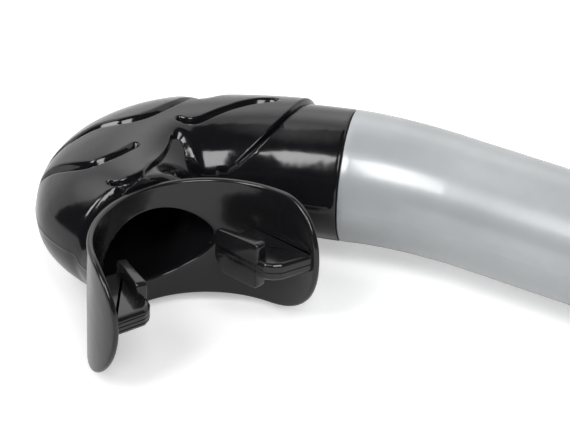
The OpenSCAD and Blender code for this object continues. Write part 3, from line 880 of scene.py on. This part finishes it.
# %% Tube, up the outside and down the bore
rings = [spigot_ring(0, spigot_r)]
for a in np.linspace(0, math.pi / 2, 4)[:-1]:
    rings.append(spigot_ring(-foot_round * (1 - math.cos(a)),
                             foot_r - foot_round * (1 - math.sin(a))))
rings += [bend_ring(t, flare(t), 1) for t in np.linspace(bend_len - foot_round, 0, 40)]
barrel_places = np.linspace(barrel_start, barrel_end, 30)
rings += [tube_ring(x, 0, 0, barrel_r, 1) for x in barrel_places[1:]]
rings += [tube_ring(x, 0, 0, bore_r) for x in barrel_places[:0:-1]]
rings += [bend_ring(t, bore_at(t)) for t in np.linspace(0, bend_len - throat_at, 30)]
rings.append(spigot_ring(spigot_len, spigot_bore_r))
rings.append(spigot_ring(spigot_len, spigot_r - spigot_round))
rings.append(spigot_ring(spigot_len - spigot_round, spigot_r))
rings += [spigot_ring(s, spigot_r + rise) for s, rise in bead]
rings.append(rings[0])
tube = lay_rings("tube", np.array(rings) * mm, ring_closed=True)
print(name_and_size(tube))

# %% [markdown]
# ## Turned pieces
#
# The bright sleeve and the keeper's sleeve are the same all the way round, as if turned on a
# lathe. Each starts as a flat outline of its wall, its corners are bevelled, and the outline is
# spun round the barrel. The face that filled the outline is deleted first, or it would stay
# inside the wall.

# %% Turning a wall
def turned(name, profile, bevel, steps=128):
    """Wall with a closed profile of (x, radius) corners in mm, spun round the barrel."""
    start_clean()
    bpy.ops.mesh.primitive_circle_add(vertices=len(profile), radius=1, fill_type="NGON")
    piece = bpy.context.object
    piece.name = name
    for vertex, (x, r) in zip(piece.data.vertices, profile):
        vertex.co = (x * mm, 0, r * mm)
    bpy.ops.object.mode_set(mode="EDIT")
    bpy.ops.mesh.select_all(action="SELECT")
    bpy.ops.mesh.bevel(offset=bevel * mm, segments=4, affect="VERTICES")
    bpy.ops.mesh.select_all(action="SELECT")
    bpy.ops.mesh.delete(type="ONLY_FACE")
    bpy.ops.mesh.select_all(action="SELECT")
    bpy.ops.mesh.spin(steps=steps, angle=2 * math.pi, center=(0, 0, 0), axis=(1, 0, 0))
    bpy.ops.object.mode_set(mode="OBJECT")
    merge_doubles(piece)
    return piece

# %% Signal sleeve and keeper's sleeve
snug, running_gap = 0.03, 0.05
lip_r = bore_r + barrel_wall / 4
tip = turned("signal_sleeve", [
    (barrel_end - tip_len, barrel_r + snug), (barrel_end - tip_len, tip_r),
    (tip_end, tip_r), (tip_end, lip_r), (barrel_end, lip_r), (barrel_end, barrel_r + snug),
], 0.25)

low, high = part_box("keeper_sleeve")
sleeve_half, sleeve_rim_r = high.x / mm, high.z / mm
sleeve_r, sleeve_flange = barrel_r + 1.55, 2.0
half_profile = [
    (sleeve_half - sleeve_flange, sleeve_r), (sleeve_half - sleeve_flange, sleeve_rim_r),
    (sleeve_half, sleeve_rim_r), (sleeve_half, barrel_r + running_gap),
]
sleeve = turned("keeper_bush", [(-x, r) for x, r in half_profile[::-1]] + half_profile, 0.35)
print(name_and_size(tip))
print(name_and_size(sleeve))

# %% [markdown]
# ## The clip
#
# The keeper's clip is plates, ears and a post on a ring: plain blocks that a mould maker would
# melt together and round off. Each block is a cube at its size and place, a boolean joins it to
# the ring, another cuts the bore, and one bevel softens all the edges that the joins left.

# %% Blocks, joins and cuts
def block(low, high):
    """Cube between two corners, in mm."""
    start_clean()
    low, high = Vector(low) * mm, Vector(high) * mm
    bpy.ops.mesh.primitive_cube_add(size=1, location=(low + high) / 2)
    piece = bpy.context.object
    piece.scale = high - low
    bpy.ops.object.transform_apply(location=True, rotation=True, scale=True)
    return piece


def round_bar(radius, x, y, z_low, z_high, sides=64):
    """Upright cylinder, in mm."""
    start_clean()
    bpy.ops.mesh.primitive_cylinder_add(
        vertices=sides, radius=radius * mm, depth=(z_high - z_low) * mm,
        location=(x * mm, y * mm, (z_low + z_high) / 2 * mm),
    )
    bpy.ops.object.transform_apply(location=True, rotation=True, scale=True)
    return bpy.context.object


def combine(piece, tools, operation):
    """Booleans of piece with each tool; the tools are used up."""
    for tool in tools:
        start_clean()
        bpy.context.view_layer.objects.active = piece
        modifier = piece.modifiers.new("combine", "BOOLEAN")
        modifier.operation, modifier.object, modifier.solver = operation, tool, "EXACT"
        bpy.ops.object.modifier_apply(modifier=modifier.name)
        bpy.data.objects.remove(tool)
    return piece


def soften(piece, width):
    """Bevel on every edge that turns sharply."""
    start_clean()
    bpy.context.view_layer.objects.active = piece
    merge_doubles(piece, 2e-6)
    modifier = piece.modifiers.new("soften", "BEVEL")
    modifier.width, modifier.segments = width * mm, 3
    modifier.limit_method, modifier.angle_limit = "ANGLE", math.radians(35)
    bpy.ops.object.modifier_apply(modifier=modifier.name)
    return piece

# %% Sizes of the clip
ring_wall, clip_h, side_gap = 2.2, 16.0, 0.2
ring_bore = sleeve_r + running_gap
ring_r = ring_bore + ring_wall
ring_half = sleeve_half - sleeve_flange - side_gap
strap_w, strap_gap, base_t, gate_t, post_t = 24.0, 5.0, 3.0, 2.6, 5.0
pin_r, knuckle_r, ear_t = 1.2, 2.8, 3.0
slot_y = -ring_r - base_t
gate_y = slot_y - strap_gap
hinge_x, hinge_y = -strap_w / 2 - knuckle_r, gate_y - gate_t / 2
post_x, clip_end = strap_w / 2, strap_w / 2 + post_t
half_h = clip_h / 2
tongue_t, tongue_len, tongue_gap = post_t / 2, strap_gap / 2, 0.4
overlap = 1.0  # how far a piece reaches into another, or a cutter past a face
print(f"strap slot {strap_w:.0f} x {strap_gap:.0f} mm, hinge at {hinge_x:.1f}, {hinge_y:.1f}")

# %% Keeper ring
keeper = turned("keeper_clip", [
    (-ring_half, ring_bore - overlap), (-ring_half, ring_r), (ring_half, ring_r),
    (ring_half, ring_bore - overlap),
], 0.05)
parts = [
    block((-ring_half, slot_y, -half_h), (ring_half, -ring_bore, half_h)),
    block((hinge_x - knuckle_r, slot_y, -half_h), (clip_end, slot_y + base_t, half_h)),
    block((post_x, gate_y, -half_h), (clip_end, slot_y + overlap / 2, half_h)),
]
for side in (-1, 1):
    z = sorted((side * half_h, side * (half_h - ear_t)))
    parts.append(round_bar(knuckle_r, hinge_x, hinge_y, *z))
    parts.append(block((hinge_x - knuckle_r, hinge_y, z[0]),
                       (hinge_x + knuckle_r, slot_y + base_t, z[1])))
combine(keeper, parts, "UNION")
bore_sides, cutter_len = 128, 60
start_clean()
bpy.ops.mesh.primitive_cylinder_add(vertices=bore_sides, radius=ring_bore * mm,
                                    depth=cutter_len * mm, rotation=(0, math.pi / 2, 0))
bpy.ops.object.transform_apply(rotation=True)
bore_cutter = bpy.context.object
pocket_x = post_x + post_t / 2
pocket = block(
    (pocket_x - tongue_t / 2 - tongue_gap, gate_y - overlap, -clip_h / 4 - tongue_gap),
    (pocket_x + tongue_t / 2 + tongue_gap, gate_y + tongue_len + tongue_gap,
     clip_h / 4 + tongue_gap))
combine(keeper, [bore_cutter, pocket], "DIFFERENCE")
soften(keeper, 0.35)
print(name_and_size(keeper))

# %% Gate and pin
gate_half = half_h - ear_t - side_gap
gate = round_bar(knuckle_r, hinge_x, hinge_y, -gate_half, gate_half)
gate.name = "clip_gate_skin"
combine(gate, [
    block((hinge_x, gate_y - gate_t, -gate_half), (clip_end, gate_y - side_gap, gate_half)),
    block((pocket_x - tongue_t / 2, gate_y - gate_t / 2, -clip_h / 4),
          (pocket_x + tongue_t / 2, gate_y + tongue_len, clip_h / 4)),
], "UNION")
pin_hole = round_bar(pin_r + running_gap, hinge_x, hinge_y, -half_h, half_h)
combine(gate, [pin_hole], "DIFFERENCE")
soften(gate, 0.3)
pin = round_bar(pin_r, hinge_x, hinge_y, -half_h, half_h, 48)
pin.name = "hinge_pin"
soften(pin, 0.2)
print(name_and_size(gate))
print(name_and_size(pin))

# %% [markdown]
# ## Materials
#
# Five finishes cover the object: glossy black rubber that has picked up a little dust, silver
# grey PVC with a fine flow in it, matt black moulded plastic, bright signal plastic and the
# pin's steel. They differ in numbers and not in kind, so one function builds each shader from
# two or three noises. A number that is the same all over is set on the shader's own socket.

# %% Node helpers
def new_material(name):
    """Material with an empty Principled shader: (material, nodes, links, shader)."""
    material = bpy.data.materials.new(name)
    material.use_nodes = True
    nodes, links = material.node_tree.nodes, material.node_tree.links
    return material, nodes, links, nodes["Principled BSDF"]


def noise(nodes, links, scale, detail=3.0, roughness=0.5):
    """Noise on Object coordinates; scale is in cycles per metre."""
    place_on = nodes.new("ShaderNodeTexCoord")
    texture = nodes.new("ShaderNodeTexNoise")
    texture.inputs["Scale"].default_value = scale
    texture.inputs["Detail"].default_value = detail
    texture.inputs["Roughness"].default_value = roughness
    links.new(place_on.outputs["Object"], texture.inputs["Vector"])
    return texture.outputs["Fac"]


def spread(nodes, links, value, low, high, from_low=0.3, from_high=0.7):
    """A value stretched from one range to another."""
    node = nodes.new("ShaderNodeMapRange")
    node.inputs["From Min"].default_value = from_low
    node.inputs["From Max"].default_value = from_high
    node.inputs["To Min"].default_value = low
    node.inputs["To Max"].default_value = high
    links.new(value, node.inputs["Value"])
    return node.outputs["Result"]


def blend_colours(nodes, links, share, first, second):
    node = nodes.new("ShaderNodeMix")
    node.data_type = "RGBA"
    node.inputs["A"].default_value = (*first, 1)
    node.inputs["B"].default_value = (*second, 1)
    links.new(share, node.inputs["Factor"])
    return node.outputs["Result"]


def bump(nodes, links, shader, height, strength, distance):
    node = nodes.new("ShaderNodeBump")
    node.inputs["Strength"].default_value = strength
    node.inputs["Distance"].default_value = distance
    links.new(height, node.inputs["Height"])
    links.new(node.outputs["Normal"], shader.inputs["Normal"])


# %% Finishes
def mottled(name, colours, patches, patch_range, roughness, grain, lumps=None, even=()):
    """Material whose colour varies in patches and whose roughness varies with a grain.

    patches and grain are scale, detail and roughness of a noise. lumps is the same for a bump,
    with its strength and its distance in metres. even holds the sockets that are the same all
    over, each with its number.
    """
    material, nodes, links, shader = new_material(name)
    share = spread(nodes, links, noise(nodes, links, *patches), 0, 1, *patch_range)
    links.new(blend_colours(nodes, links, share, *colours), shader.inputs["Base Color"])
    gloss = spread(nodes, links, noise(nodes, links, *grain), *roughness)
    links.new(gloss, shader.inputs["Roughness"])
    if lumps:
        texture, strength, distance = lumps
        bump(nodes, links, shader, noise(nodes, links, *texture), strength, distance)
    for socket, number in even:
        shader.inputs[socket].default_value = number
    return material


whole, specks = (0.3, 0.7), (0.74, 0.78)  # patches of even area, or a few small specks
dust = (0.09, 0.09, 0.09)
elbow_rubber = mottled(
    "elbow_rubber", ((0.006, 0.006, 0.007), dust), (2600, 2, 0.6), specks,
    (0.09, 0.16), (160, 3, 0.6), ((170, 2), 0.35, 0.0003), [("IOR", 1.5)])
flange_rubber = mottled(
    "flange_rubber", ((0.010, 0.010, 0.011), dust), (2600, 2, 0.6), specks,
    (0.12, 0.2), (160, 3, 0.6), ((170, 2), 0.35, 0.0003), [("IOR", 1.5)])
tube_pvc = mottled(
    "tube_pvc", ((0.37, 0.388, 0.40), (0.43, 0.448, 0.46)), (60, 4, 0.6), whole,
    (0.28, 0.36), (5000, 2), ((5000, 2), 0.05, 0.0001),
    [("Metallic", 0.2), ("Coat Weight", 0.4), ("Coat Roughness", 0.12)])
keeper_plastic = mottled(
    "keeper_plastic", ((0.016, 0.016, 0.018), (0.026, 0.026, 0.028)), (120,), whole,
    (0.42, 0.56), (3500, 3, 0.6), ((3500, 3, 0.6), 0.25, 0.0002))
signal_tip = mottled(
    "signal_tip", ((0.90, 0.13, 0.012), (0.98, 0.17, 0.016)), (90, 3), whole,
    (0.26, 0.36), (2500,), ((1500, 2), 0.08, 0.0002))
pin_steel = mottled(
    "pin_steel", ((0.55, 0.55, 0.56), (0.66, 0.66, 0.67)), (800,), whole,
    (0.22, 0.34), (4000,), None, [("Metallic", 1.0)])
finishes = (elbow_rubber, flange_rubber, tube_pvc, keeper_plastic, signal_tip, pin_steel)
print("finishes:", ", ".join(material.name for material in finishes))

# %% Dress the bodies
finish_piece(elbow, "mouthpiece", elbow_rubber, ["elbow_body"], 60)
finish_piece(flange, "mouthpiece", flange_rubber, ["mouth_flange"], 60)
finish_piece(right_tab, "mouthpiece", flange_rubber, ["bite_tab_right"])
finish_piece(left_tab, "mouthpiece", flange_rubber, ["bite_tab_left"])
finish_piece(tube, "tube", tube_pvc, ["barrel_tube"], 60)
finish_piece(tip, "tube", signal_tip, ["tip_band"])
finish_piece(sleeve, "slider", keeper_plastic, ["keeper_sleeve"])
finish_piece(keeper, "keeper", keeper_plastic, ["keeper_ring"])
finish_piece(gate, "gate", keeper_plastic, ["clip_gate"])
finish_piece(pin, "keeper", pin_steel, ["clip_pin"])

# %% [markdown]
# ## Floor, light and camera
#
# Black gloss shows little but its surroundings, so the surroundings are the light. A white
# background behind the object greys the tops of the elbow, and two soft discs of glow in it
# make it brighter to the left and behind. Two softboxes above the camera draw the crisp bright
# patches, and a black curtain round and over the camera keeps the sides that face it dark. The
# curtain, the softboxes and the glow stay out of the camera's sight.

# %% Camera
def ray_to(turn, height):
    """Unit vector at a turn from the row's -Y and a height over its plan, in radians."""
    return Vector((math.sin(turn) * math.cos(height),
                   -math.cos(turn) * math.cos(height), math.sin(height)))


azimuth, elevation, roll = math.radians(29.3), math.radians(30.29), math.radians(2.47)
camera_away = 0.624
back = ray_to(azimuth, elevation)
aim = Vector((-122.93, -3.18, 0)) * mm
right = (-back).cross(Vector((0, 0, 1))).normalized()
upward = right.cross(-back)
turned_right = right * math.cos(roll) + upward * math.sin(roll)
turned_up = upward * math.cos(roll) - right * math.sin(roll)

data = bpy.data.cameras.new("camera")
data.sensor_width, data.lens = 36, 195.5
data.shift_x, data.shift_y = -0.1178, -0.0746
data.clip_start = 0.01
camera = bpy.data.objects.new("camera", data)
bpy.context.scene.collection.objects.link(camera)
camera.matrix_world = Matrix.Translation(aim + back * camera_away) @ Matrix(
    (turned_right, turned_up, back)).transposed().to_4x4()
bpy.context.scene.camera = camera
bpy.context.scene.view_settings.view_transform = "Standard"

# %% Floor and world
floor_gap = 0.5 * mm  # under the CAD box
floor_glow, world_light = 0.35, 0.8  # the floor's own light to the camera, and the world's
low, high = cad_box
start_clean()
bpy.ops.mesh.primitive_plane_add(size=6, location=(0, 0, low.z - floor_gap))
floor = bpy.context.object
floor.name = "floor"
material, nodes, links, shader = new_material("floor_white")
shader.inputs["Base Color"].default_value = (0.9, 0.9, 0.9, 1)
shader.inputs["Roughness"].default_value = 0.9
shader.inputs["Specular IOR Level"].default_value = 0.1
shader.inputs["Emission Color"].default_value = (1, 1, 1, 1)
path = nodes.new("ShaderNodeLightPath")
links.new(spread(nodes, links, path.outputs["Is Camera Ray"], 0, floor_glow, 0, 1),
          shader.inputs["Emission Strength"])
floor.data.materials.append(material)
floor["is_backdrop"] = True

world = bpy.data.worlds.new("studio")
bpy.context.scene.world = world
world.use_nodes = True
nodes, links = world.node_tree.nodes, world.node_tree.links
background = nodes["Background"]
background.inputs["Color"].default_value = (1, 1, 1, 1)
path = nodes.new("ShaderNodeLightPath")
seen = path.outputs["Is Camera Ray"]
for output in ("Is Glossy Ray", "Is Transmission Ray"):
    add = nodes.new("ShaderNodeMath")
    add.operation = "MAXIMUM"
    links.new(seen, add.inputs[0])
    links.new(path.outputs[output], add.inputs[1])
    seen = add.outputs[0]
links.new(spread(nodes, links, seen, world_light, 1.0, 0, 1), background.inputs["Strength"])

# %% Curtain
studio_r, opening_top = 1.6, math.radians(66)
opening_edge = -0.2  # cosine of the turn from the camera at which the curtain's opening begins
start_clean()
bpy.ops.mesh.primitive_uv_sphere_add(
    segments=96, ring_count=48, radius=studio_r, location=(aim.x, aim.y, low.z - mm))
curtain = bpy.context.object
curtain.name = "curtain"
bpy.ops.object.mode_set(mode="EDIT")
mesh = bmesh.from_edit_mesh(curtain.data)
towards = ray_to(azimuth, 0)
for face in mesh.faces:
    ray = face.calc_center_median().normalized()
    behind = ray.dot(towards) < opening_edge * math.hypot(ray.x, ray.y)
    face.select = ray.z < 0 or (behind and ray.z < math.sin(opening_top))
bpy.ops.mesh.delete(type="FACE")
bpy.ops.object.mode_set(mode="OBJECT")
material, nodes, links, shader = new_material("black_curtain")
shader.inputs["Base Color"].default_value = (0.02, 0.02, 0.02, 1)
shader.inputs["Roughness"].default_value = 1.0
curtain.data.materials.append(material)
curtain.visible_camera = False
curtain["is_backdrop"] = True
print(name_and_size(curtain))


# %% Softboxes and glow
def put_in_studio(thing, turn, height, distance, front):
    """Places a lamp or disc, in degrees from the camera's azimuth, with its front to the aim."""
    ray = ray_to(azimuth + math.radians(turn), math.radians(height))
    thing.location = aim + ray * distance
    thing.rotation_euler = (-ray).to_track_quat(front, "Y").to_euler()


def softbox(name, turn, height, distance, width, tall, watts):
    data = bpy.data.lights.new(name, "AREA")
    data.shape, data.size, data.size_y, data.energy = "RECTANGLE", width, tall, watts
    lamp = bpy.data.objects.new(name, data)
    bpy.context.scene.collection.objects.link(lamp)
    put_in_studio(lamp, turn, height, distance, "-Z")


def glow(name, turn, height, distance, radius, strength):
    """Disc of light that is added to the white behind it and fades to nothing at its rim."""
    start_clean()
    bpy.ops.mesh.primitive_circle_add(vertices=64, radius=radius, fill_type="NGON")
    disc = bpy.context.object
    disc.name = name
    put_in_studio(disc, turn, height, distance, "Z")
    material, nodes, links, shader = new_material(name)
    nodes.remove(shader)
    place_on = nodes.new("ShaderNodeTexCoord")
    from_middle = nodes.new("ShaderNodeVectorMath")
    from_middle.operation = "LENGTH"
    links.new(place_on.outputs["Object"], from_middle.inputs[0])
    light = nodes.new("ShaderNodeEmission")
    links.new(spread(nodes, links, from_middle.outputs["Value"], strength, 0, radius / 5, radius),
              light.inputs["Strength"])
    clear = nodes.new("ShaderNodeBsdfTransparent")
    both = nodes.new("ShaderNodeAddShader")
    links.new(light.outputs[0], both.inputs[0])
    links.new(clear.outputs[0], both.inputs[1])
    links.new(both.outputs[0], nodes["Material Output"].inputs["Surface"])
    disc.data.materials.append(material)
    disc.visible_camera = False
    return disc


softbox("softbox_right", 17, 47, 1.5, 0.62, 0.75, 12.5)
softbox("softbox_left", -40, 45, 1.5, 0.5, 0.68, 10.5)
glow("glow_left", -114, 56, 1.4, 0.75, 1.3)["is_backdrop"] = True
glow("glow_behind", 180, 38, 1.4, 0.5, 0.7)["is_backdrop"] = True
print("lamps:", ", ".join(lamp.name for lamp in bpy.data.lights))

# %% Sizes of the CAD model and of the dressed object
new_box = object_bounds()
for name, (low, high) in (("CAD", cad_box), ("visual", new_box)):
    print(name, "box mm:", [round(v / mm, 1) for v in low], [round(v / mm, 1) for v in high])
